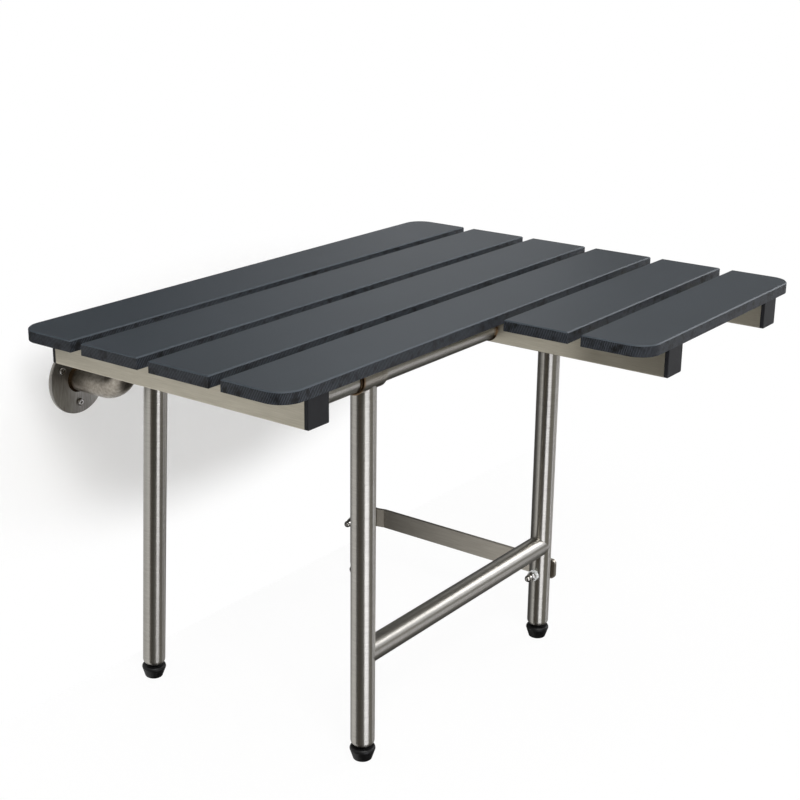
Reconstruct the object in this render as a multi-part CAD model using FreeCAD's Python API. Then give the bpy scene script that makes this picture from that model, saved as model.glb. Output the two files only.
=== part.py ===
import FreeCAD
import Part
import math
import os

# Fold-down wall seat with an L-shaped slatted top on a welded stainless steel frame.
# Millimetres. +X along the slats, -Y away from the wall, +Z up.
# The origin is the centre of the left wall flange's back face, so the wall is the plane Y = 0.
# A "depth" below is measured from the slats' back edge towards the front of the seat.

# Place of the seat against the wall and the floor
wall_gap = 42.5                 # wall to the back edge of the slats
seat_height = 470.7             # floor to the top of the slats
flange_from_slat_end = 112.7    # left flange's centre to the slats' left ends
flange_right_from_beam = 51.3   # right flange's centre to the right beam
hinge_above_flange = 62.45      # centre of the flanges to the axis of the rear tube
hinge_depth = 41.9              # slats' back edge to the axis of the rear tube

# Slats of solid phenolic board
slat_count = 6
short_slat_count = 2            # the front slats, which make the foot of the L
slat_width = 79.5
slat_gap = 15.75
slat_thickness = 12.7
slat_length = 712.0
short_slat_length = 369.0
slat_corner_radius = 25.0
slat_edge_bevel = 1.2

# Square tube beams
beam_size = 31.75
beam_wall = 1.65
beam_corner_radius = 1.6
beam_left_inset = 34.0          # slats' left ends to the left beam
beam_middle_overhang = 48.5     # short slats' left ends to the middle beam
beam_right_overhang = 45.25     # slats' right ends to the right beam
beam_back_inset = 12.0          # slats' back edge to the back caps
beam_front_inset = 1.2          # front slat's edge to the front caps

# Black end caps of the beams
cap_flange = 4.5
cap_plug_length = 10.0
cap_plug_wall = 2.0
cap_fit = 0.1
cap_edge_radius = 0.8

# Round tube of the frame, the legs and the arms
tube_diameter = 26.7
tube_wall = 1.65
tube_hole_clearance = 0.1       # around the tube where it goes through the middle beam
front_tube_depth = 328.5
weld_leg = 1.6
bead_height = 1.5
bead_width = 3.0
bead_gap = 0.3

# Sleeves that turn on the frame's tubes
running_clearance = 0.08
sleeve_wall = 2.55
sleeve_length = 38.5
sleeve_below_slats = 0.42       # gap between a sleeve and the underside of the slats
cope_clearance = 0.05           # around a tube where another's end is cut to fit it

# Wall arms and flanges
elbow_radius = 38.1
flange_radius = 40.9
flange_thickness = 3.5
flange_edge_radius = 1.0
flange_weld_leg = 2.4
wall_screw_count = 3
wall_screw_circle = 56.0
wall_screw_first_angle = 30.0
wall_screw_radius = 2.42
wall_screw_shank_radius = 2.1   # the plain part, in the flange
wall_screw_embedment = 38.0
wall_screw_tip = 5.0
wall_screw_tip_radius = 0.4
wall_screw_head_radius = 4.5
wall_screw_head_height = 2.7
screw_socket_across = 3.2
screw_socket_depth = 1.4
screw_hole_clearance = 0.28
head_rim_share = 0.6            # of a screw head's height, its rounded rim

# Screws that hold the slats from below, through the beams
slat_screw_radius = 2.4
slat_screw_offset = 20.0        # each side of a slat's centre line
slat_screw_bite = 9.0           # how far a screw goes into a slat
slat_screw_tip_room = 1.0
slat_screw_fit = 0.05
slat_screw_head_radius = 4.6
slat_screw_head_height = 2.6

# Legs
front_leg_left_inset = 165.0
front_leg_right_from_beam = 103.0
back_leg_left_inset = 157.5
back_leg_right_from_beam = 105.7
back_leg_lean = 3.6             # degrees, the free leg's foot towards the wall
leg_end_height = 17.5           # floor to the rounded end of a leg
leg_end_radius = 6.0
leg_end_hole = 5.3
cross_tube_height = 127.1       # floor to the axis of the tube between the front legs

# Threaded inserts and levelling feet
insert_fit = 0.1
insert_body_height = 10.0
foot_stud_radius = 3.97
foot_stud_clearance = 0.06
foot_stud_reach = 24.0          # how far a stud goes up into its leg
foot_collar_radius = 5.6
foot_collar_gap = 0.3
foot_tail_radius = 3.0
foot_tail_length = 7.0
pad_height = 15.5
pad_widest_height = 12.0
pad_top_radius = 14.3
pad_rim_radius = 12.8
pad_shoulder_bulge = 0.35       # outwards from a straight line between the two
pad_shoulder_share = 0.62       # of the height between them, where the bulge is
pad_foot_radius = 10.75
pad_foot_edge = 1.2
pad_recess_radius = 7.2
pad_recess_depth = 3.2

# Link bar and its two pivots
link_height = 89.7              # floor to the pivots' axis
link_bar_height = 25.4
link_bar_thickness = 4.76
link_end_margin = 13.0          # from each pivot to the bar's end
link_end_radius = 5.0
link_jog_depth = 60.0           # where the sideways step begins
link_jog_length = 10.0
bolt_radius = 3.0
bolt_turning_clearance = 0.08
bolt_open_clearance = 0.35      # at the rear pivot
bolt_hole_clearance = 0.3
bolt_head_radius = 5.25
bolt_head_height = 3.3
bolt_thread_in_nut = 7.0
thread_clearance = 0.05
spacer_radius = 6.4
spacer_thickness = 1.1
nylon_washer_radius = 6.9
nylon_washer_thickness = 4.0
nut_across = 10.0
nut_height = 6.0
nut_chamfer_angle = 30.0
nut_dome_radius = 4.4
nut_dome_length = 4.1
nut_bore_depth = 8.0

# Sizes that follow from those above
overrun = 1.0                   # how far a cutting shape runs past what it cuts
touching = 1e-6                 # places closer than this are the same
parallel = 0.5                  # an edge's direction along an axis is above this
tube_radius = tube_diameter / 2
sleeve_bore = tube_radius + running_clearance
sleeve_radius = sleeve_bore + sleeve_wall
slat_pitch = slat_width + slat_gap
long_slat_count = slat_count - short_slat_count
hinge_below_slats = sleeve_radius + sleeve_below_slats
slat_underside_z = hinge_above_flange + hinge_below_slats
slat_top_z = slat_underside_z + slat_thickness
floor_z = slat_top_z - seat_height
hinge_z = hinge_above_flange
hinge_height = hinge_z - floor_z
beam_bottom_z = slat_underside_z - beam_size
link_z = floor_z + link_height
cross_tube_z = floor_z + cross_tube_height
left_end_x = -flange_from_slat_end
right_end_x = left_end_x + slat_length
beam_middle_inset = slat_length - short_slat_length + beam_middle_overhang
beam_right_inset = slat_length - beam_right_overhang - beam_size
front_leg_right_inset = beam_right_inset - front_leg_right_from_beam
back_leg_right_inset = beam_right_inset - back_leg_right_from_beam
flange_spacing = beam_right_inset - flange_right_from_beam - flange_from_slat_end

X_AXIS = FreeCAD.Vector(1, 0, 0)
Y_AXIS = FreeCAD.Vector(0, 1, 0)
Z_AXIS = FreeCAD.Vector(0, 0, 1)


def point(x, y, z):
    return FreeCAD.Vector(x, y, z)


def y_at(depth):
    """Y of a place at this depth from the slats' back edge."""
    return -(wall_gap + depth)


def x_at(inset):
    """X of a place at this inset from the slats' left ends."""
    return left_end_x + inset


hinge_y = y_at(hinge_depth)
front_tube_y = y_at(front_tube_depth)


def rod(radius, start, direction, length):
    return Part.makeCylinder(radius, length, start, direction)


def round_tube(outer, inner, start, direction, length):
    core_start = start - direction * overrun
    core = rod(inner, core_start, direction, length + 2 * overrun)
    return rod(outer, start, direction, length).cut(core)


def turned(profile, centre, axis):
    """Solid of revolution of (radius, height) points about an axis through the centre.

    A point given as (radius, height, "arc") is the middle of an arc between its neighbours.
    """
    side = Z_AXIS.cross(axis)
    side = X_AXIS if side.Length < touching else side.normalize()
    places = [centre + side * entry[0] + axis * entry[1] for entry in profile]
    marks = [len(entry) == 3 for entry in profile]
    edges = []
    index = 0
    while index < len(places):
        after = (index + 1) % len(places)
        if marks[after]:
            end = (index + 2) % len(places)
            edges.append(Part.Arc(places[index], places[after], places[end]).toShape())
            index += 2
        else:
            edges.append(Part.LineSegment(places[index], places[after]).toShape())
            index += 1
    face = Part.Face(Part.Wire(edges))
    return face.revolve(centre, axis, 360)


def quarter_arc(centre_r, centre_h, radius, angle):
    """Middle point of an arc, for turned()."""
    turn = math.radians(angle)
    return (centre_r + radius * math.cos(turn), centre_h + radius * math.sin(turn), "arc")


def hex_prism(across, height, centre, axis):
    """Six-sided prism standing on the centre."""
    corner = across / math.sqrt(3)
    side = Z_AXIS.cross(axis)
    side = X_AXIS if side.Length < touching else side.normalize()
    up = axis.cross(side)
    corners = []
    for step in range(6):
        turn = math.radians(60 * step)
        corners.append(centre + side * (corner * math.cos(turn)) + up * (corner * math.sin(turn)))
    corners.append(corners[0])
    return Part.Face(Part.makePolygon(corners)).extrude(axis * height)


def pan_head(radius, height, centre, axis):
    """Screw head with a rounded rim and a six-sided socket, its seat on the centre."""
    rim = height * head_rim_share
    middle = quarter_arc(radius - rim, height - rim, rim, 45)
    profile = [(0, 0), (radius, 0), (radius, height - rim), middle, (radius - rim, height), (0, height)]
    head = turned(profile, centre, axis)
    socket_start = centre + axis * (height - screw_socket_depth)
    return head.cut(hex_prism(screw_socket_across, screw_socket_depth + overrun, socket_start, axis))


def save(node, shapes):
    """Write one node, a single solid or a group of separate ones."""
    group = shapes if isinstance(shapes, list) else [shapes]
    solids = []
    for shape in group:
        solids.extend(shape.Solids)
    result = solids[0] if len(solids) == 1 else Part.makeCompound(solids)
    result.exportStep("parts/" + node + ".step")


# Wall flanges and arms

def wall_flange(x):
    centre = point(x, 0, 0)
    disc = rod(flange_radius, centre, -Y_AXIS, flange_thickness)
    front_rim = [edge for edge in disc.Edges
                 if len(edge.Vertexes) == 1 and abs(edge.Vertexes[0].Y + flange_thickness) < touching]
    disc = disc.makeFillet(flange_edge_radius, front_rim)
    for place in wall_screw_places(x):
        start = place + Y_AXIS * overrun
        length = flange_thickness + 2 * overrun
        disc = disc.cut(rod(wall_screw_radius + screw_hole_clearance, start, -Y_AXIS, length))
    return disc


def wall_screw_places(x):
    places = []
    for number in range(wall_screw_count):
        turn = math.radians(wall_screw_first_angle + 360 / wall_screw_count * number)
        reach = wall_screw_circle / 2
        places.append(point(x + reach * math.cos(turn), 0, reach * math.sin(turn)))
    return places


def wall_screw(place):
    """Head, plain shank through the flange, then the thread with its pointed tip in the wall."""
    seat = place - Y_AXIS * flange_thickness
    head = pan_head(wall_screw_head_radius, wall_screw_head_height, seat, -Y_AXIS)
    shank = rod(wall_screw_shank_radius, seat, Y_AXIS, flange_thickness)
    straight = wall_screw_embedment - wall_screw_tip
    thread = rod(wall_screw_radius, place, Y_AXIS, straight)
    tip_start = place + Y_AXIS * straight
    tip = Part.makeCone(wall_screw_radius, wall_screw_tip_radius, wall_screw_tip, tip_start, Y_AXIS)
    return head.fuse([shank, thread, tip]).removeSplitter()


def flange_weld(x):
    profile = [(tube_radius, 0), (tube_radius + flange_weld_leg, 0), (tube_radius, flange_weld_leg)]
    return turned(profile, point(x, -flange_thickness, 0), -Y_AXIS)


def wall_arm(x):
    """Tube that leaves the flange level, turns up through the elbow and ends on its sleeve."""
    start = point(x, -flange_thickness, 0)
    bend_start = point(x, hinge_y + elbow_radius, 0)
    bend_centre = bend_start + Z_AXIS * elbow_radius
    bend_end = point(x, hinge_y, elbow_radius)
    rise = hinge_z - elbow_radius
    shapes = []
    for radius in (tube_radius, tube_radius - tube_wall):
        level = rod(radius, start, -Y_AXIS, (bend_start - start).Length)
        ring = Part.Face(Part.Wire(Part.makeCircle(radius, bend_start, Y_AXIS)))
        bend = ring.revolve(bend_centre, -X_AXIS, 90)
        upright = rod(radius, bend_end, Z_AXIS, rise)
        shapes.append(level.fuse([bend, upright]).removeSplitter())
    arm = shapes[0].cut(shapes[1])
    sleeve_end = point(x - sleeve_length, hinge_y, hinge_z)
    return arm.cut(rod(sleeve_radius, sleeve_end, X_AXIS, 2 * sleeve_length))


def sleeve(x, y):
    start = point(x - sleeve_length / 2, y, hinge_z)
    return round_tube(sleeve_radius, sleeve_bore, start, X_AXIS, sleeve_length)


# Seat frame

def beam_front_depth(inset):
    """Depth of a beam's front end, with its cap: the left beam carries the long slats only."""
    under_short_slats = inset > slat_length - short_slat_length
    count = slat_count if under_short_slats else long_slat_count
    return count * slat_pitch - slat_gap - beam_front_inset


def square_bar(inset, y_start, length, size, corner, centre_z):
    low = point(x_at(inset) + (beam_size - size) / 2, y_start - length, centre_z - size / 2)
    bar = Part.makeBox(size, length, size, low)
    along = [edge for edge in bar.Edges if abs(edge.tangentAt(edge.FirstParameter).y) > parallel]
    return bar.makeFillet(corner, along)


def beam_ends(inset):
    """Y of a beam's back end and front end, without the caps."""
    back = y_at(beam_back_inset + cap_flange)
    front = y_at(beam_front_depth(inset) - cap_flange)
    return back, front


def slat_centre_depth(number):
    return (number - 1) * slat_pitch + slat_width / 2


def screw_depths(inset):
    """Depths of the slat screws in one beam, clear of the plugs of its caps."""
    front = beam_front_depth(inset)
    margin = cap_flange + cap_plug_length + slat_screw_radius
    depths = []
    for number in range(1, slat_count + 1):
        for side in (-1, 1):
            depth = slat_centre_depth(number) + side * slat_screw_offset
            if beam_back_inset + margin < depth < front - margin:
                depths.append(depth)
    return depths


def beam(inset, tubes_pass):
    back, front = beam_ends(inset)
    centre_z = slat_underside_z - beam_size / 2
    inner_size = beam_size - 2 * beam_wall
    inner_corner = beam_corner_radius / 2
    outer = square_bar(inset, back, back - front, beam_size, beam_corner_radius, centre_z)
    inner_length = back - front + 2 * overrun
    inner = square_bar(inset, back + overrun, inner_length, inner_size, inner_corner, centre_z)
    result = outer.cut(inner)
    through = beam_size + 2 * overrun
    for depth in screw_depths(inset):
        start = point(x_at(inset + beam_size / 2), y_at(depth), beam_bottom_z - overrun)
        result = result.cut(rod(slat_screw_radius + screw_hole_clearance, start, Z_AXIS, through))
    if tubes_pass:
        for y in (hinge_y, front_tube_y):
            start = point(x_at(inset) - overrun, y, hinge_z)
            result = result.cut(rod(tube_radius + tube_hole_clearance, start, X_AXIS, through))
    return result


def beam_cap(inset, end_y, outward):
    """Square cap whose flange covers the tube's end and whose hollow plug sits inside it."""
    centre_z = slat_underside_z - beam_size / 2
    flange_start = max(end_y, end_y + outward * cap_flange)
    flange = square_bar(inset, flange_start, cap_flange, beam_size, beam_corner_radius, centre_z)
    outer_y = end_y + outward * cap_flange
    rim = [edge for edge in flange.Edges
           if all(abs(vertex.Y - outer_y) < touching for vertex in edge.Vertexes)]
    flange = flange.makeFillet(cap_edge_radius, rim)
    plug_start = max(end_y, end_y - outward * cap_plug_length)
    plug_size = beam_size - 2 * beam_wall - 2 * cap_fit
    plug = square_bar(inset, plug_start, cap_plug_length, plug_size, beam_corner_radius / 2, centre_z)
    hollow_size = plug_size - 2 * cap_plug_wall
    hollow_start = plug_start if outward > 0 else plug_start + overrun
    hollow_length = cap_plug_length + overrun
    hollow = square_bar(inset, hollow_start, hollow_length, hollow_size, beam_corner_radius / 2, centre_z)
    return flange.fuse(plug.cut(hollow)).removeSplitter()


def frame_tube(y):
    """Round tube from the left beam to the right one, through the middle one."""
    start = point(x_at(beam_left_inset) + beam_size, y, hinge_z)
    length = beam_right_inset - beam_left_inset - beam_size
    return round_tube(tube_radius, tube_radius - tube_wall, start, X_AXIS, length)


def tube_weld(x, y, direction):
    profile = [(tube_radius, 0), (tube_radius + weld_leg, 0), (tube_radius, weld_leg)]
    return turned(profile, point(x, y, hinge_z), direction)


def frame_welds():
    welds = []
    for y in (hinge_y, front_tube_y):
        welds.append(tube_weld(x_at(beam_left_inset) + beam_size, y, X_AXIS))
        welds.append(tube_weld(x_at(beam_middle_inset), y, -X_AXIS))
        welds.append(tube_weld(x_at(beam_middle_inset) + beam_size, y, X_AXIS))
        welds.append(tube_weld(x_at(beam_right_inset), y, -X_AXIS))
    return welds


def stop_bead(x, y, direction):
    """Weld bead around a tube that keeps the sleeve beside it from sliding along."""
    top = (tube_radius + bead_height, bead_width / 2, "arc")
    profile = [(tube_radius, 0), top, (tube_radius, bead_width)]
    return turned(profile, point(x, y, hinge_z) + direction * bead_gap, direction)


def stop_beads():
    half = sleeve_length / 2
    return [
        stop_bead(half, hinge_y, X_AXIS),
        stop_bead(x_at(back_leg_left_inset) + half, hinge_y, X_AXIS),
        stop_bead(x_at(back_leg_right_inset) - half, hinge_y, -X_AXIS),
        stop_bead(flange_spacing - half, hinge_y, -X_AXIS),
        stop_bead(x_at(front_leg_left_inset) - half, front_tube_y, -X_AXIS),
        stop_bead(x_at(front_leg_right_inset) + half, front_tube_y, X_AXIS),
    ]


# Slats

def slat(number):
    """One board. Corners on the outline of the L are rounded, the others stay square."""
    is_short = number > long_slat_count
    length = short_slat_length if is_short else slat_length
    left = right_end_x - length
    back = y_at((number - 1) * slat_pitch)
    board = Part.makeBox(length, slat_width, slat_thickness, point(left, back - slat_width, slat_underside_z))
    rounded = []
    if number == 1:
        rounded += [(left, back), (right_end_x, back)]
    if number in (long_slat_count, slat_count):
        rounded.append((left, back - slat_width))
    if number == slat_count:
        rounded.append((right_end_x, back - slat_width))
    corners = [edge for edge in board.Edges
               for x, y in rounded
               if all(math.hypot(v.X - x, v.Y - y) < touching for v in edge.Vertexes)]
    if corners:
        board = board.makeFillet(slat_corner_radius, corners)
    top_rim = [edge for edge in board.Edges
               if all(abs(vertex.Z - slat_top_z) < touching for vertex in edge.Vertexes)]
    board = board.makeChamfer(slat_edge_bevel, top_rim)
    for place in slat_screw_places():
        if back - slat_width < place.y < back and left < place.x:
            start = point(place.x, place.y, slat_underside_z - overrun)
            depth = overrun + slat_screw_bite + slat_screw_tip_room
            board = board.cut(rod(slat_screw_radius + slat_screw_fit, start, Z_AXIS, depth))
    return board


def slat_screw_places():
    """Seats of the slat screws' heads, on the underside of the beams."""
    places = []
    for inset in (beam_left_inset, beam_middle_inset, beam_right_inset):
        for depth in screw_depths(inset):
            places.append(point(x_at(inset + beam_size / 2), y_at(depth), beam_bottom_z))
    return places


def slat_screw(place):
    head = pan_head(slat_screw_head_radius, slat_screw_head_height, place, -Z_AXIS)
    shank = rod(slat_screw_radius, place, Z_AXIS, beam_size + slat_screw_bite)
    return head.fuse(shank).removeSplitter()


# Legs, drawn upright below the tube that each one hangs on

def leg(x, y):
    """Tube with its upper end cut to fit the sleeve and its lower end drawn in around a hole."""
    end = floor_z + leg_end_height - hinge_z
    inside = tube_radius - tube_wall
    shoulder = tube_radius - leg_end_radius
    outer_arc = quarter_arc(shoulder, end + leg_end_radius, leg_end_radius, -45)
    inner_arc = quarter_arc(shoulder, end + leg_end_radius, leg_end_radius - tube_wall, -45)
    profile = [
        (tube_radius, 0), (tube_radius, end + leg_end_radius), outer_arc, (shoulder, end),
        (leg_end_hole, end), (leg_end_hole, end + tube_wall),
        (shoulder, end + tube_wall), inner_arc, (inside, end + leg_end_radius), (inside, 0),
    ]
    result = turned(profile, point(x, y, hinge_z), Z_AXIS)
    sleeve_start = point(x - sleeve_length, y, hinge_z)
    return result.cut(rod(sleeve_radius, sleeve_start, X_AXIS, 2 * sleeve_length))


def bolted_leg(x, y):
    start = point(x - tube_diameter, y, link_z)
    return leg(x, y).cut(rod(bolt_radius + bolt_hole_clearance, start, X_AXIS, 2 * tube_diameter))


def cross_tube():
    """Tube between the front legs, its ends cut to their curve."""
    left = x_at(front_leg_left_inset)
    right = x_at(front_leg_right_inset)
    start = point(left, front_tube_y, cross_tube_z)
    tube = round_tube(tube_radius, tube_radius - tube_wall, start, X_AXIS, right - left)
    for x in (left, right):
        low = point(x, front_tube_y, cross_tube_z - tube_diameter)
        tube = tube.cut(rod(tube_radius + cope_clearance, low, Z_AXIS, 2 * tube_diameter))
    return tube


def leg_insert(x, y):
    """Threaded bush inside a leg's lower end, with a nose that fills the end's hole."""
    end = floor_z + leg_end_height
    seat = leg_end_radius
    top = seat + insert_body_height
    body = tube_radius - tube_wall - insert_fit
    bore = foot_stud_radius + foot_stud_clearance
    nose = leg_end_hole - insert_fit
    profile = [(bore, 0), (nose, 0), (nose, seat), (body, seat), (body, top), (bore, top)]
    return turned(profile, point(x, y, end), Z_AXIS)


def foot_stud(x, y):
    """Threaded stud with a round collar that sits in the pad's recess, and a tail in the pad."""
    seat = pad_height - pad_recess_depth
    collar_top = leg_end_height - foot_collar_gap
    stud_top = leg_end_height + foot_stud_reach
    tail = seat - foot_tail_length
    profile = [
        (0, tail), (foot_tail_radius, tail), (foot_tail_radius, seat), (foot_collar_radius, seat),
        (foot_collar_radius, collar_top), (foot_stud_radius, collar_top),
        (foot_stud_radius, stud_top), (0, stud_top),
    ]
    return turned(profile, point(x, y, floor_z), Z_AXIS)


def foot_pad(x, y):
    """Tapered pad, widest near its top, with a recess there for the stud's collar."""
    seat = pad_height - pad_recess_depth
    tail = seat - foot_tail_length
    edge = pad_foot_edge
    foot_arc = quarter_arc(pad_foot_radius - edge, edge, edge, -45)
    swell = pad_height - pad_widest_height
    shoulder_radius = (pad_top_radius + pad_rim_radius) / 2 + pad_shoulder_bulge
    shoulder = (shoulder_radius, pad_widest_height + swell * pad_shoulder_share, "arc")
    profile = [
        (0, 0), (pad_foot_radius - edge, 0), foot_arc, (pad_foot_radius, edge),
        (pad_top_radius, pad_widest_height), shoulder, (pad_rim_radius, pad_height),
        (pad_recess_radius, pad_height), (pad_recess_radius, seat), (foot_tail_radius, seat),
        (foot_tail_radius, tail), (0, tail),
    ]
    return turned(profile, point(x, y, floor_z), Z_AXIS)


def leaned(shape):
    """The free back leg swings on the rear tube: its foot stands a little nearer to the wall."""
    result = shape.copy()
    result.rotate(point(0, hinge_y, hinge_z), X_AXIS, back_leg_lean)
    return result


# Link bar and its pivots

def spacer_face(leg_inset):
    """X of the spacer's outer face, where the bar lies against it."""
    return x_at(leg_inset) + tube_radius + spacer_thickness


def link_bar():
    """Flat bar with a small sideways step near the wall, seen from above and drawn upwards."""
    front = y_at(front_tube_depth + link_end_margin)
    back = y_at(hinge_depth - link_end_margin)
    front_x = spacer_face(front_leg_right_inset)
    back_x = spacer_face(back_leg_right_inset)
    jog_start = y_at(link_jog_depth + link_jog_length)
    jog_end = y_at(link_jog_depth)
    low = link_z - link_bar_height / 2
    thick = link_bar_thickness
    outline = [
        point(front_x, front, low), point(front_x, jog_start, low),
        point(back_x, jog_end, low), point(back_x, back, low),
        point(back_x + thick, back, low), point(back_x + thick, jog_end, low),
        point(front_x + thick, jog_start, low), point(front_x + thick, front, low),
    ]
    outline.append(outline[0])
    bar = Part.Face(Part.makePolygon(outline)).extrude(Z_AXIS * link_bar_height)
    ends = [edge for edge in bar.Edges
            if abs(edge.tangentAt(edge.FirstParameter).x) > parallel
            and any(abs(edge.Vertexes[0].Y - y) < touching for y in (front, back))]
    bar = bar.makeFillet(link_end_radius, ends)
    pivots = ((front_tube_y, front_x, bolt_turning_clearance), (hinge_y, back_x, bolt_open_clearance))
    for y, x, clearance in pivots:
        start = point(x - overrun, y, link_z)
        bar = bar.cut(rod(bolt_radius + clearance, start, X_AXIS, thick + 2 * overrun))
    return bar


def link_spacer(leg_inset, y):
    start = point(x_at(leg_inset) + tube_radius, y, link_z)
    return round_tube(spacer_radius, bolt_radius + thread_clearance, start, X_AXIS, spacer_thickness)


def link_bolt(leg_inset, y):
    """Button-head bolt from the bar's outer face through the leg into the cap nut."""
    seat = point(spacer_face(leg_inset) + link_bar_thickness, y, link_z)
    head = pan_head(bolt_head_radius, bolt_head_height, seat, X_AXIS)
    length = link_bar_thickness + spacer_thickness + tube_diameter
    length += nylon_washer_thickness + bolt_thread_in_nut
    return head.fuse(rod(bolt_radius, seat, -X_AXIS, length)).removeSplitter()


def nylon_washer(leg_inset, y):
    start = point(x_at(leg_inset) - tube_radius, y, link_z)
    bore = bolt_radius + thread_clearance
    return round_tube(nylon_washer_radius, bore, start, -X_AXIS, nylon_washer_thickness)


def cap_nut(leg_inset, y):
    """Six-sided nut with a closed dome over the bolt's end."""
    seat = point(x_at(leg_inset) - tube_radius - nylon_washer_thickness, y, link_z)
    shoulder = nut_height + nut_dome_length
    tip = shoulder + nut_dome_radius
    middle = quarter_arc(0, shoulder, nut_dome_radius, 45)
    dome_start = nut_height / 2
    profile = [(0, dome_start), (nut_dome_radius, dome_start), (nut_dome_radius, shoulder), middle, (0, tip)]
    dome = turned(profile, seat, -X_AXIS)
    spread = nut_height / math.tan(math.radians(nut_chamfer_angle))
    chamfer = Part.makeCone(nut_across / 2 + spread, nut_across / 2, nut_height, seat, -X_AXIS)
    hexagon = hex_prism(nut_across, nut_height, seat, -X_AXIS).common(chamfer)
    bore_start = seat + X_AXIS * overrun
    bore = rod(bolt_radius + thread_clearance, bore_start, -X_AXIS, nut_bore_depth + overrun)
    return hexagon.fuse(dome).removeSplitter().cut(bore)


def build_wall_frame():
    for side, x in (("left", 0.0), ("right", flange_spacing)):
        save("wall_flange_" + side, wall_flange(x))
        save("wall_arm_" + side, wall_arm(x))
        save("arm_sleeve_" + side, sleeve(x, hinge_y))
        save("wall_screws_" + side, [wall_screw(place) for place in wall_screw_places(x)])
    save("flange_welds", [flange_weld(0.0), flange_weld(flange_spacing)])


def build_seat():
    beams = {"left": beam_left_inset, "middle": beam_middle_inset, "right": beam_right_inset}
    for side, inset in beams.items():
        back, front = beam_ends(inset)
        save("beam_" + side, beam(inset, side == "middle"))
        save("cap_back_" + side, beam_cap(inset, back, 1))
        save("cap_front_" + side, beam_cap(inset, front, -1))
    save("rear_tube", frame_tube(hinge_y))
    save("front_tube", frame_tube(front_tube_y))
    save("frame_welds", frame_welds())
    save("stop_beads", stop_beads())
    for number in range(1, slat_count + 1):
        save("slat_" + str(number), slat(number))
    save("slat_screws", [slat_screw(place) for place in slat_screw_places()])


def build_foot(name, x, y, place):
    save("leg_insert_" + name, place(leg_insert(x, y)))
    save("foot_stud_" + name, place(foot_stud(x, y)))
    save("foot_pad_" + name, place(foot_pad(x, y)))


def build_legs():
    upright = Part.Shape.copy
    left = x_at(front_leg_left_inset)
    right = x_at(front_leg_right_inset)
    save("front_leg_left", leg(left, front_tube_y))
    save("front_leg_right", bolted_leg(right, front_tube_y))
    save("front_sleeve_left", sleeve(left, front_tube_y))
    save("front_sleeve_right", sleeve(right, front_tube_y))
    save("cross_tube", cross_tube())
    build_foot("front_left", left, front_tube_y, upright)
    build_foot("front_right", right, front_tube_y, upright)
    free = x_at(back_leg_left_inset)
    save("back_leg_left", leaned(leg(free, hinge_y)))
    save("back_sleeve_left", leaned(sleeve(free, hinge_y)))
    build_foot("back_left", free, hinge_y, leaned)
    linked = x_at(back_leg_right_inset)
    save("back_leg_right", bolted_leg(linked, hinge_y))
    save("back_sleeve_right", sleeve(linked, hinge_y))
    build_foot("back_right", linked, hinge_y, upright)


def build_link():
    save("link_bar", link_bar())
    pivots = (("front", front_leg_right_inset, front_tube_y), ("back", back_leg_right_inset, hinge_y))
    for end, inset, y in pivots:
        save("link_spacer_" + end, link_spacer(inset, y))
        save("link_bolt_" + end, link_bolt(inset, y))
        save("link_washer_" + end, nylon_washer(inset, y))
        save("link_nut_" + end, cap_nut(inset, y))


os.makedirs("parts", exist_ok=True)
build_wall_frame()
build_seat()
build_legs()
build_link()
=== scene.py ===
import math

import bpy
from mathutils import Matrix, Vector


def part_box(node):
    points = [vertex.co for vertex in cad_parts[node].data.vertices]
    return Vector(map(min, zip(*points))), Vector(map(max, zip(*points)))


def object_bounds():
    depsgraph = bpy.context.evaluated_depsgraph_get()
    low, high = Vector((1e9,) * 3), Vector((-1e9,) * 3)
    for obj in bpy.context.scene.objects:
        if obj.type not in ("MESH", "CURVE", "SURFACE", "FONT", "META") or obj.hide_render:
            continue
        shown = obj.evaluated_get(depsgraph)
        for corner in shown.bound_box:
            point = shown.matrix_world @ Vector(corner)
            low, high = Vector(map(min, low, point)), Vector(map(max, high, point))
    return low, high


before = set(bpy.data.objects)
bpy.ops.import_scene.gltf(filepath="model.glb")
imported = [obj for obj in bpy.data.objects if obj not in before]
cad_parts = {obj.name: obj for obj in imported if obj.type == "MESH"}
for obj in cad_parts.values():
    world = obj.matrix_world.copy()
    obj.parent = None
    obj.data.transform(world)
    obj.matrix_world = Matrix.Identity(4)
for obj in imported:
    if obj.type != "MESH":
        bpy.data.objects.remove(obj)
cad_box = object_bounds()


# Wall flanges and arms
# Each flange is a pressed disc of stainless steel. A bent tube is welded to its middle, and a short
# sleeve, in which the rear tube turns, sits on the tube's upper end. Hand brushing leaves them dull.

def linear(colour):
    """sRGB hex to linear RGBA."""
    parts = [int(colour[place:place + 2], 16) / 255 for place in (1, 3, 5)]
    return tuple(p / 12.92 if p < 0.04045 else ((p + 0.055) / 1.055) ** 2.4 for p in parts) + (1.0,)


def add(tree, kind, settings=None, links=None):
    """One node with its settings, by socket or by property, and the sockets that feed it.

    A socket goes by number where its node has others of that name. A Mix has its factor at 0, two
    numbers at 2 and 3 or two colours at 6 and 7, and gives the mixed colour at output 2.
    """
    made = tree.nodes.new(kind)
    for key, value in (settings or {}).items():
        if isinstance(key, int) or key in made.inputs:
            made.inputs[key].default_value = value
        else:
            setattr(made, key, value)
    for key, source in (links or {}).items():
        tree.links.new(source, made.inputs[key])
    return made


def new_material(name):
    """A new material, its node tree and its shader."""
    material = bpy.data.materials.new(name)
    material.use_nodes = True
    tree = material.node_tree
    return material, tree, tree.nodes["Principled BSDF"]


def finish_nodes(names, material):
    """Gives the CAD nodes of these names the material, all over."""
    for name in names:
        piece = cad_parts[name]
        if not piece.material_slots:
            piece.data.materials.append(material)
        for slot in piece.material_slots:
            slot.material = material


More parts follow.
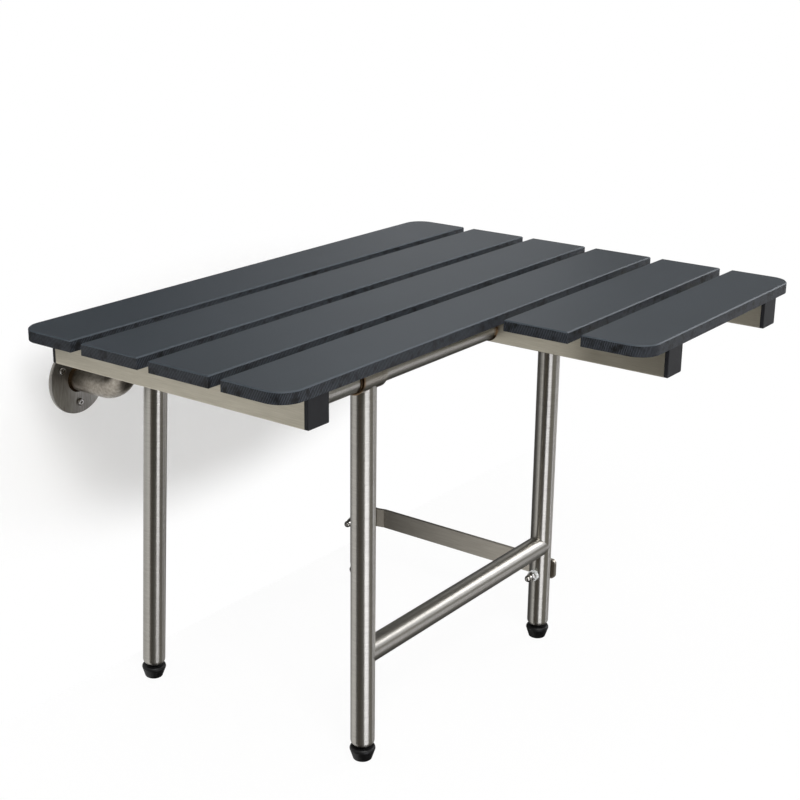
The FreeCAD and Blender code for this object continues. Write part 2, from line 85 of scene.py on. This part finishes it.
def brushed_steel(name, colour, dark, streaks, roughness, smear=None, tint_places=(), blotches=0.0):
    """Brushed stainless steel, with this many streaks per metre along X, Y and Z.

    The scratches smear the reflections across the grain, in the direction smear, and hand work
    leaves darker blotches. tint_places are (axis, position, reach) of welds, near which the heat
    turned the steel brown. Noise lies mostly between 0.3 and 0.7, the ends of its ranges here.
    """
    tint_strength = 0.85
    tint_wander = 0.003
    duller = 0.06
    glossier = 0.05
    material, tree, shader = new_material(name)
    place = add(tree, "ShaderNodeTexCoord").outputs["Object"]
    grain = add(tree, "ShaderNodeMapping", {"Scale": streaks}, {"Vector": place}).outputs["Vector"]
    scratch = add(tree, "ShaderNodeTexNoise", {"Scale": 1.0, "Detail": 3.0, "Roughness": 0.6},
                  {"Vector": grain}).outputs[0]
    # patches about 35 mm wide
    patch = add(tree, "ShaderNodeTexNoise", {"Scale": 28.0, "Detail": 2.0}, {"Vector": place}).outputs[0]
    tone = add(tree, "ShaderNodeMapRange", {"From Min": 0.3, "From Max": 0.7}, {"Value": scratch})
    base = add(tree, "ShaderNodeMix", {"data_type": "RGBA", 6: linear(dark), 7: linear(colour)},
               {0: tone.outputs[0]}).outputs[2]
    if blotches:
        depth = add(tree, "ShaderNodeMapRange",
                    {"From Min": 0.35, "From Max": 0.65, "To Min": blotches, "To Max": 0.0}, {"Value": patch})
        base = add(tree, "ShaderNodeMix", {"data_type": "RGBA", 7: linear("#4c4843")},
                   {0: depth.outputs[0], 6: base}).outputs[2]
    if tint_places:
        parts = add(tree, "ShaderNodeSeparateXYZ", {}, {"Vector": place})
        wobble = add(tree, "ShaderNodeMath",
                     {"operation": "MULTIPLY_ADD", 1: tint_wander, 2: -tint_wander / 2}, {0: patch})
    for axis, position, reach in tint_places:
        away = add(tree, "ShaderNodeMath", {"operation": "SUBTRACT", 1: position}, {0: parts.outputs[axis]})
        moved = add(tree, "ShaderNodeMath", {"operation": "ADD"}, {0: away.outputs[0], 1: wobble.outputs[0]})
        size = add(tree, "ShaderNodeMath", {"operation": "ABSOLUTE"}, {0: moved.outputs[0]})
        near = add(tree, "ShaderNodeMapRange", {"From Max": reach, "To Min": tint_strength, "To Max": 0.0},
                   {"Value": size.outputs[0]})
        base = add(tree, "ShaderNodeMix", {"data_type": "RGBA", 7: linear("#7a5a33")},
                   {0: near.outputs[0], 6: base}).outputs[2]
    gloss = add(tree, "ShaderNodeMapRange", {"From Min": 0.3, "From Max": 0.7, "To Min": roughness + duller,
                                             "To Max": roughness - glossier}, {"Value": scratch})
    bump = add(tree, "ShaderNodeBump", {"Strength": 0.10, "Distance": 0.0002}, {"Height": scratch})
    tree.links.new(base, shader.inputs["Base Color"])
    tree.links.new(gloss.outputs[0], shader.inputs["Roughness"])
    tree.links.new(bump.outputs[0], shader.inputs["Normal"])
    shader.inputs["Metallic"].default_value = 1.0
    if smear:
        direction = add(tree, "ShaderNodeVectorTransform", {"vector_type": "VECTOR", "convert_from": "OBJECT",
                                                            "convert_to": "WORLD", "Vector": smear})
        tree.links.new(direction.outputs[0], shader.inputs["Tangent"])
        shader.inputs["Anisotropic"].default_value = 0.85
    return material


# The place of the arm's weld on the flange, and how far its heat reached
arm_weld_y = -0.0045
arm_weld_reach = 0.006
flange_steel = brushed_steel("hand-brushed stainless flange", "#b5b2ac", "#8f8b85",
                             (900.0, 900.0, 60.0), 0.36, blotches=0.35)
arm_steel = brushed_steel("hand-brushed stainless elbow", "#bbb4a8", "#978f84", (300.0, 300.0, 300.0), 0.34,
                          tint_places=((1, arm_weld_y, arm_weld_reach),), blotches=0.3)
weld_steel = brushed_steel("heat-tinted weld bead", "#5f4c36", "#31261b", (900.0, 900.0, 900.0), 0.42)
finish_nodes(["wall_flange_left", "wall_flange_right"], flange_steel)
finish_nodes(["wall_arm_left", "wall_arm_right", "arm_sleeve_left", "arm_sleeve_right"], arm_steel)
finish_nodes(["flange_welds", "stop_beads", "frame_welds"], weld_steel)

# Wall screws
# Six pan-head screws of passivated stainless steel with a small six-sided socket. They are turned,
# not brushed, so they are brighter than the flange. All bolts, nuts and studs have their finish.

ends = ("front", "back")
sides = ("left", "right")
corners = [end + "_" + side for end in ends for side in sides]
screw_steel = brushed_steel("turned stainless screw", "#b4b1ac", "#84817b", (1500.0, 1500.0, 1500.0), 0.2)
finish_nodes(["wall_screws_left", "wall_screws_right", "slat_screws"], screw_steel)
finish_nodes(["link_" + kind + "_" + end for kind in ("bolt", "nut", "spacer") for end in ends], screw_steel)
finish_nodes(["foot_stud_" + corner for corner in corners], screw_steel)

# Beams and frame tubes
# Three square tubes, belt-brushed along their length, joined by two round tubes that are welded
# between them. The front tube keeps a brown heat tint where it enters the middle beam.

# Scratches per metre: a real belt's are too fine to show, so these are about 0.4 mm apart
across = 2600.0
along = 40.0
beam_steel = brushed_steel("belt-brushed stainless square tube", "#c0baab", "#aea898",
                           (across, along, across), 0.36, smear=(1.0, 0.0, 1.0))
beam_tint_reach = 0.007
sleeve_tint_reach = 0.004
beam_tint = (0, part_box("beam_middle")[0].x, beam_tint_reach)
sleeve_tint = (0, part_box("front_sleeve_left")[0].x, sleeve_tint_reach)
tube_steel = brushed_steel("stainless tube brushed round, along X", "#b3b0a9", "#9c9993",
                           (across, along, along), 0.32, smear=(1.0, 0.0, 0.0),
                           tint_places=(beam_tint, sleeve_tint))
finish_nodes(["beam_left", "beam_middle", "beam_right"], beam_steel)
finish_nodes(["rear_tube", "front_tube"], tube_steel)

# Slats
# Boards of solid grey phenolic, sawn and routed: the faces are satin, the cut edges show the
# slanting marks of the cutter, and the fine arris between them is painted paler, a painted highlight.

def phenolic_board():
    """Solid board, whose faces, cut edges and arrises are told apart by the way they face."""
    # how level a spot lies: 1 on the faces, 0 on the cut edges, and between them on the arrises
    least_level_face = 0.95
    most_level_edge = 0.15
    material, tree, shader = new_material("solid grey phenolic board")
    place = add(tree, "ShaderNodeTexCoord").outputs["Object"]
    # grain about 0.6 mm wide, under a broad change of tone
    fine = add(tree, "ShaderNodeTexNoise", {"Scale": 1600.0, "Detail": 2.0}, {"Vector": place}).outputs[0]
    broad = add(tree, "ShaderNodeTexNoise", {"Scale": 6.0, "Detail": 3.0}, {"Vector": place})
    face = add(tree, "ShaderNodeMix", {"data_type": "RGBA", 6: linear("#2b3136"), 7: linear("#353b42")},
               {0: broad.outputs[0]}).outputs[2]
    # cutter marks about 2 mm apart, slanting across the edge, broken up by noise
    slant = add(tree, "ShaderNodeMapping", {"Scale": (1.0, -1.0, 0.35)}, {"Vector": place})
    wave = add(tree, "ShaderNodeTexWave",
               {"wave_type": "BANDS", "bands_direction": "DIAGONAL", "Scale": 300.0, "Distortion": 2.0,
                "Detail": 3.0, "Detail Scale": 0.6, "Detail Roughness": 0.7},
               {"Vector": slant.outputs["Vector"]})
    breaks = add(tree, "ShaderNodeTexNoise", {"Scale": 110.0, "Detail": 3.0}, {"Vector": place})
    broken = add(tree, "ShaderNodeMapRange", {"From Min": 0.3, "From Max": 0.5}, {"Value": breaks.outputs[0]})
    ridge = add(tree, "ShaderNodeMapRange", {"From Min": 0.4}, {"Value": wave.outputs[1]})
    mark = add(tree, "ShaderNodeMath", {"operation": "MULTIPLY"},
               {0: ridge.outputs[0], 1: broken.outputs[0]}).outputs[0]
    edge = add(tree, "ShaderNodeMix", {"data_type": "RGBA", 6: linear("#08090b"), 7: linear("#40464f")},
               {0: mark}).outputs[2]
    facing = add(tree, "ShaderNodeNewGeometry").outputs["True Normal"]
    normal = add(tree, "ShaderNodeVectorTransform",
                 {"vector_type": "NORMAL", "convert_from": "WORLD", "convert_to": "OBJECT"},
                 {"Vector": facing})
    up = add(tree, "ShaderNodeSeparateXYZ", {}, {"Vector": normal.outputs[0]}).outputs[2]
    how_level = add(tree, "ShaderNodeMath", {"operation": "ABSOLUTE"}, {0: up}).outputs[0]
    is_face = add(tree, "ShaderNodeMath", {"operation": "GREATER_THAN", 1: least_level_face},
                  {0: how_level}).outputs[0]
    is_edge = add(tree, "ShaderNodeMath", {"operation": "LESS_THAN", 1: most_level_edge},
                  {0: how_level}).outputs[0]
    # painted highlight: the arrises between face and cut edge get a paler grey, where light catches the
    # rounded corner
    colour = add(tree, "ShaderNodeMix", {"data_type": "RGBA", 6: linear("#394047")},
                 {0: is_face, 7: face}).outputs[2]
    colour = add(tree, "ShaderNodeMix", {"data_type": "RGBA"}, {0: is_edge, 6: colour, 7: edge}).outputs[2]
    # the grain is shallow beside the cutter's marks
    grain = add(tree, "ShaderNodeMath", {"operation": "MULTIPLY", 1: 0.15}, {0: fine})
    cut = add(tree, "ShaderNodeMath", {"operation": "MULTIPLY"}, {0: mark, 1: is_edge})
    height = add(tree, "ShaderNodeMath", {"operation": "ADD"}, {0: grain.outputs[0], 1: cut.outputs[0]})
    bump = add(tree, "ShaderNodeBump", {"Strength": 0.35, "Distance": 0.0003}, {"Height": height.outputs[0]})
    gloss = add(tree, "ShaderNodeMapRange", {"To Min": 0.48, "To Max": 0.56}, {"Value": fine})
    shader.inputs["Specular IOR Level"].default_value = 0.28
    tree.links.new(colour, shader.inputs["Base Color"])
    tree.links.new(gloss.outputs[0], shader.inputs["Roughness"])
    tree.links.new(bump.outputs[0], shader.inputs["Normal"])
    return material


finish_nodes(["slat_" + str(number) for number in range(1, 7)], phenolic_board())

# Beam caps
# Black moulded polyethylene, pressed into the ends of the beams. The mould's fine spark texture
# makes them matt.

def moulded(name, colour, light, roughness, grain):
    """Moulded plastic or rubber, with this many grains per metre and a slightly uneven tone."""
    uneven = 0.05
    material, tree, shader = new_material(name)
    shader.inputs["Specular IOR Level"].default_value = 0.3
    place = add(tree, "ShaderNodeTexCoord").outputs["Object"]
    fine = add(tree, "ShaderNodeTexNoise", {"Scale": grain, "Detail": 2.0}, {"Vector": place}).outputs[0]
    broad = add(tree, "ShaderNodeTexNoise", {"Scale": 60.0, "Detail": 2.0}, {"Vector": place})
    base = add(tree, "ShaderNodeMix", {"data_type": "RGBA", 6: linear(colour), 7: linear(light)},
               {0: broad.outputs[0]}).outputs[2]
    bump = add(tree, "ShaderNodeBump", {"Strength": 0.2, "Distance": 0.0001}, {"Height": fine})
    gloss = add(tree, "ShaderNodeMapRange", {"From Min": 0.3, "From Max": 0.7, "To Min": roughness - uneven,
                                             "To Max": roughness + uneven}, {"Value": fine})
    tree.links.new(base, shader.inputs["Base Color"])
    tree.links.new(gloss.outputs[0], shader.inputs["Roughness"])
    tree.links.new(bump.outputs[0], shader.inputs["Normal"])
    return material


cap_plastic = moulded("black moulded polyethylene", "#0f1014", "#17181c", 0.55, 1800.0)
finish_nodes(["cap_" + end + "_" + beam for end in ends for beam in ("left", "middle", "right")], cap_plastic)

# Legs
# Round stainless tubes brushed round, their lower ends drawn in around a threaded insert, their
# upper ends cut to fit the sleeves that turn on the frame tubes.

leg_steel = brushed_steel("stainless leg brushed round", "#b3b0a9", "#9c9993", (along, along, across), 0.32,
                          smear=(0.0, 0.0, 1.0))
sleeve_steel = brushed_steel("stainless sleeve brushed round", "#aaa59b", "#8f8a81", (across, along, along),
                             0.34, smear=(1.0, 0.0, 0.0), tint_places=(sleeve_tint,))
finish_nodes([end + "_leg_" + side for end in ends for side in sides], leg_steel)
finish_nodes(["leg_insert_" + corner for corner in corners], leg_steel)
finish_nodes([end + "_sleeve_" + side for end in ends for side in sides], sleeve_steel)

# Link bar
# Flat bar of stainless steel, 25 mm high, brushed along its length, bolted to the right legs
# over a white nylon washer at each leg.

bar_steel = brushed_steel("brushed stainless flat bar", "#b0aba1", "#9b958b", (across, along, across), 0.34,
                          smear=(1.0, 0.0, 1.0))
nylon = moulded("natural white nylon", "#e4e6e6", "#d4d8da", 0.4, 1200.0)
finish_nodes(["link_bar"], bar_steel)
finish_nodes(["link_washer_front", "link_washer_back"], nylon)

# Tube between the front legs
# The same round tube, its ends cut to the legs' curve. Its welds were brushed clean, so it has no
# heat tint.

cross_steel = brushed_steel("stainless cross tube brushed round", "#b3b0a9", "#9c9993",
                            (across, along, along), 0.32, smear=(1.0, 0.0, 0.0))
finish_nodes(["cross_tube"], cross_steel)

# Levelling feet
# Black rubber pads, moulded over the ends of the studs. The mould left them matt, and the rubber
# is nearly black.

rubber = moulded("black moulded rubber", "#070708", "#0e0e10", 0.5, 1400.0)
finish_nodes(["foot_pad_" + corner for corner in corners], rubber)

# Floor, wall, lights and camera
# A white studio. The camera sees a share of floor and wall as plain white, and the rest is dull
# paint, which takes the seat's shadow. The metal mirrors the wall as painted greys, a painted
# reflection of its shade, and not the floor.

floor_z = cad_box[0].z
slat_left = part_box("slat_1")[0].x
seat_middle = (0.2, -0.3, -0.1)
studio_length = 14.0
upright = math.radians(90)


def studio_surface(name, length, height, location, turn, material):
    """Flat piece of the studio, not of the seat."""
    bpy.ops.object.select_all(action="DESELECT")
    bpy.ops.mesh.primitive_plane_add(size=1.0, location=location, rotation=turn)
    surface = bpy.context.object
    surface.name = name
    surface.scale = (length, height, 1.0)
    bpy.ops.object.transform_apply(location=True, rotation=True, scale=True)
    surface.data.materials.append(material)
    return surface


def studio_white(name, least_glow, shade_centre, shade_reach):
    """White paint that takes shadows, with a share of plain white for the eye.

    The share rises from least_glow to all of it at shade_reach from the shade's centre: this glow is
    painted light, which washes the seat's shadow out away from there. Mirrors see a painted grey
    instead, a painted reflection of the wall's shade: low on the wall it darkens to the right, higher
    up to the left. The back is clear, so that the seat can be looked at from behind the wall.
    """
    material, tree, shader = new_material(name)
    tree.nodes.remove(shader)
    paint = add(tree, "ShaderNodeBsdfDiffuse", {"Color": linear("#f2f2f2")})
    place = add(tree, "ShaderNodeTexCoord").outputs["Object"]
    path = add(tree, "ShaderNodeLightPath")
    parts = add(tree, "ShaderNodeSeparateXYZ", {}, {"Vector": place})
    # painted reflection of shade: mirrors see the wall as a grey glow, darker where it lies in the seat's
    # shadow
    # in metres: two ranges across the wall, and the height at which the second takes over
    low = add(tree, "ShaderNodeMapRange", {"From Min": -0.1, "From Max": 0.3, "To Min": 1.0, "To Max": 0.12},
              {"Value": parts.outputs[0]})
    high = add(tree, "ShaderNodeMapRange", {"From Min": 0.1, "From Max": 0.6, "To Min": 0.15, "To Max": 0.8},
               {"Value": parts.outputs[0]})
    level = add(tree, "ShaderNodeMapRange", {"From Min": 0.02, "From Max": 0.06}, {"Value": parts.outputs[2]})
    grey = add(tree, "ShaderNodeMix", {"data_type": "FLOAT"},
               {0: level.outputs[0], 2: low.outputs[0], 3: high.outputs[0]})
    white = add(tree, "ShaderNodeMix", {"data_type": "FLOAT", 2: 1.0},
                {0: path.outputs["Is Glossy Ray"], 3: grey.outputs[0]})
    glow = add(tree, "ShaderNodeEmission", {"Color": (1.0, 1.0, 1.0, 1.0)}, {"Strength": white.outputs[0]})
    moved = add(tree, "ShaderNodeVectorMath", {"operation": "SUBTRACT", 1: shade_centre}, {0: place})
    scaled = add(tree, "ShaderNodeVectorMath", {"operation": "DIVIDE", 1: shade_reach}, {0: moved.outputs[0]})
    away = add(tree, "ShaderNodeVectorMath", {"operation": "LENGTH"}, {0: scaled.outputs[0]})
    # painted light: the share of plain white glow grows away from the shade's centre and covers the shadow
    # there
    share = add(tree, "ShaderNodeMapRange",
                {"interpolation_type": "SMOOTHSTEP", "From Min": 0.5, "To Min": least_glow},
                {"Value": away.outputs["Value"]})
    seen = add(tree, "ShaderNodeMath", {"operation": "MAXIMUM"},
               {0: path.outputs["Is Camera Ray"], 1: path.outputs["Is Transmission Ray"]})
    eye = add(tree, "ShaderNodeMath", {"operation": "MULTIPLY"}, {0: seen.outputs[0], 1: share.outputs[0]})
    mix = add(tree, "ShaderNodeMath", {"operation": "MAXIMUM"},
              {0: eye.outputs[0], 1: path.outputs["Is Glossy Ray"]})
    front = add(tree, "ShaderNodeMixShader", {}, {0: mix.outputs[0], 1: paint.outputs[0], 2: glow.outputs[0]})
    behind = add(tree, "ShaderNodeNewGeometry").outputs["Backfacing"]
    clear = add(tree, "ShaderNodeBsdfTransparent")
    sided = add(tree, "ShaderNodeMixShader", {}, {0: behind, 1: front.outputs[0], 2: clear.outputs[0]})
    tree.links.new(sided.outputs[0], tree.nodes["Material Output"].inputs["Surface"])
    return material


floor_white = studio_white("white studio floor", 0.95, (seat_middle[0], seat_middle[1], floor_z),
                           (1.1, 1.1, 1.0))
floor_middle = (0.0, -3.0, floor_z)
floor = studio_surface("studio_floor", studio_length, studio_length, floor_middle, (0.0, 0.0, 0.0),
                       floor_white)
floor.visible_glossy = False

# The wall stands a hair behind the flanges, and is as wide as it shows in the brushed metal
# painted light: outside an ellipse behind the seat the wall glows plain white, which washes out its shadow
wall_white = studio_white("white studio wall", 0.38, (0.21, 0.0, -0.06), (0.47, 1.0, 0.18))
wall_left = slat_left - 0.55
wall_right = slat_left + 1.25
wall_middle = ((wall_left + wall_right) / 2, 0.0005, floor_z + 5.0)
studio_surface("studio_wall", wall_right - wall_left, studio_length, wall_middle, (upright, 0.0, 0.0),
               wall_white)


def screen(name, place, size, colour, brightness):
    """Upright screen that faces the seat. Only the metal mirrors it: it lights nothing."""
    material, tree, shader = new_material(name)
    tree.nodes.remove(shader)
    glow = add(tree, "ShaderNodeEmission", {"Color": linear(colour), "Strength": brightness})
    tree.links.new(glow.outputs[0], tree.nodes["Material Output"].inputs["Surface"])
    turn = math.atan2(place[1] - seat_middle[1], place[0] - seat_middle[0]) - upright
    card = studio_surface(name, *size, place, (upright, 0.0, turn), material)
    card.visible_camera = False
    card.visible_diffuse = False
    card.visible_shadow = False
    card.visible_transmission = False


# The bright bands on the round tubes: the first two on the legs, the high one on the tubes across
screen("white_screen", (-0.19, -1.2, -0.55), (0.62, 0.8), "#f0f2fa", 3.4)
screen("right_screen", (1.56, -1.60, -0.85), (0.34, 0.80), "#eef0fa", 2.3)
screen("high_screen", (2.69, -1.57, 0.85), (1.1, 2.0), "#eef1fa", 3.3)


def softbox(name, azimuth, elevation, distance, width, height, power):
    """Rectangular soft light that faces the middle of the seat."""
    turn, rise = math.radians(azimuth), math.radians(elevation)
    direction = Vector((math.cos(rise) * math.cos(turn), math.cos(rise) * math.sin(turn), math.sin(rise)))
    lamp = bpy.data.lights.new(name, "AREA")
    lamp.shape = "RECTANGLE"
    lamp.size = width
    lamp.size_y = height
    lamp.energy = power
    holder = bpy.data.objects.new(name, lamp)
    bpy.context.scene.collection.objects.link(holder)
    holder.location = Vector(seat_middle) + direction * distance
    holder.rotation_euler = direction.to_track_quat("Z", "Y").to_euler()


softbox("key softbox", -127.0, 43.0, 2.6, 0.8, 0.8, 44.0)
softbox("right softbox", -22.0, 27.0, 2.8, 0.9, 1.4, 18.0)
softbox("top softbox", -80.0, 78.0, 2.4, 2.2, 2.2, 15.0)

# The studio around the seat, which shows in the round tubes: (azimuth in degrees, colour).
# It is dark from the left up to the camera, grey before the seat, and dark again at the right.
studio_round = ((-180, "#64594c"), (-165, "#5a5650"), (-140, "#5b5a57"), (-118, "#807e78"), (-98, "#a9a79e"),
                (-60, "#a2a09a"), (-30, "#93918c"), (0, "#55534f"))


def studio_air():
    """World light: even for the eye and for dull surfaces, the studio's round for mirrors.

    The round goes over into a grey ceiling, and below the horizon into a dark floor.
    """
    world = bpy.data.worlds.new("studio air")
    world.use_nodes = True
    tree = world.node_tree
    direction = add(tree, "ShaderNodeTexCoord").outputs["Generated"]
    parts = add(tree, "ShaderNodeSeparateXYZ", {}, {"Vector": direction})
    turn = add(tree, "ShaderNodeMath", {"operation": "ARCTAN2"}, {0: parts.outputs[1], 1: parts.outputs[0]})
    share = add(tree, "ShaderNodeMapRange", {"From Min": -math.pi, "From Max": 0.0},
                {"Value": turn.outputs[0]})
    ramp = add(tree, "ShaderNodeValToRGB", {}, {0: share.outputs[0]})
    for azimuth, colour in studio_round:
        stop = ramp.color_ramp.elements.new((azimuth + 180) / 180)
        stop.color = linear(colour)
    # heights and depths are sines of the angle from the horizon
    height = add(tree, "ShaderNodeMapRange", {"From Min": 0.12, "From Max": 0.45},
                 {"Value": parts.outputs[2]})
    round_about = add(tree, "ShaderNodeMix", {"data_type": "RGBA", 7: linear("#b9b7b3")},
                      {0: height.outputs[0], 6: ramp.outputs[0]})
    depth = add(tree, "ShaderNodeMapRange",
                {"From Min": -0.8, "From Max": -0.42, "To Min": 1.0, "To Max": 0.0},
                {"Value": parts.outputs[2]})
    round_about = add(tree, "ShaderNodeMix", {"data_type": "RGBA", 7: linear("#2e2c2a")},
                      {0: depth.outputs[0], 6: round_about.outputs[2]})
    path = add(tree, "ShaderNodeLightPath")
    even = add(tree, "ShaderNodeMix", {"data_type": "RGBA", 6: linear("#a8a5a0"), 7: linear("#ffffff")},
               {0: path.outputs["Is Camera Ray"]})
    seen = add(tree, "ShaderNodeMix", {"data_type": "RGBA"},
               {0: path.outputs["Is Glossy Ray"], 6: even.outputs[2], 7: round_about.outputs[2]})
    tree.links.new(seen.outputs[2], tree.nodes["Background"].inputs["Color"])
    return world


bpy.context.scene.world = studio_air()

# The camera's place was solved from the photograph's own corners and edges
camera_target = Vector((-0.0579, -0.4974, 0.09155))
camera_azimuth = math.radians(-143.818)
camera_elevation = math.radians(18.488)
camera_roll = math.radians(0.643)
camera_distance = 1.3702
lens_in_pixels = 1517.6
image_width = 800
sensor = 36.0

away = Vector((math.cos(camera_elevation) * math.cos(camera_azimuth),
               math.cos(camera_elevation) * math.sin(camera_azimuth), math.sin(camera_elevation)))
level = (-away).cross(Vector((0, 0, 1))).normalized()
above = level.cross(-away)
right = level * math.cos(camera_roll) + above * math.sin(camera_roll)
up = above * math.cos(camera_roll) - level * math.sin(camera_roll)
camera_data = bpy.data.cameras.new("camera")
camera_data.sensor_width = sensor
camera_data.lens = lens_in_pixels * sensor / image_width
camera_data.clip_end = 60.0
camera = bpy.data.objects.new("camera", camera_data)
bpy.context.scene.collection.objects.link(camera)
place = Matrix((right, up, away)).transposed().to_4x4()
place.translation = camera_target + away * camera_distance
camera.matrix_world = place
bpy.context.scene.camera = camera
bpy.context.scene.view_settings.view_transform = "Standard"
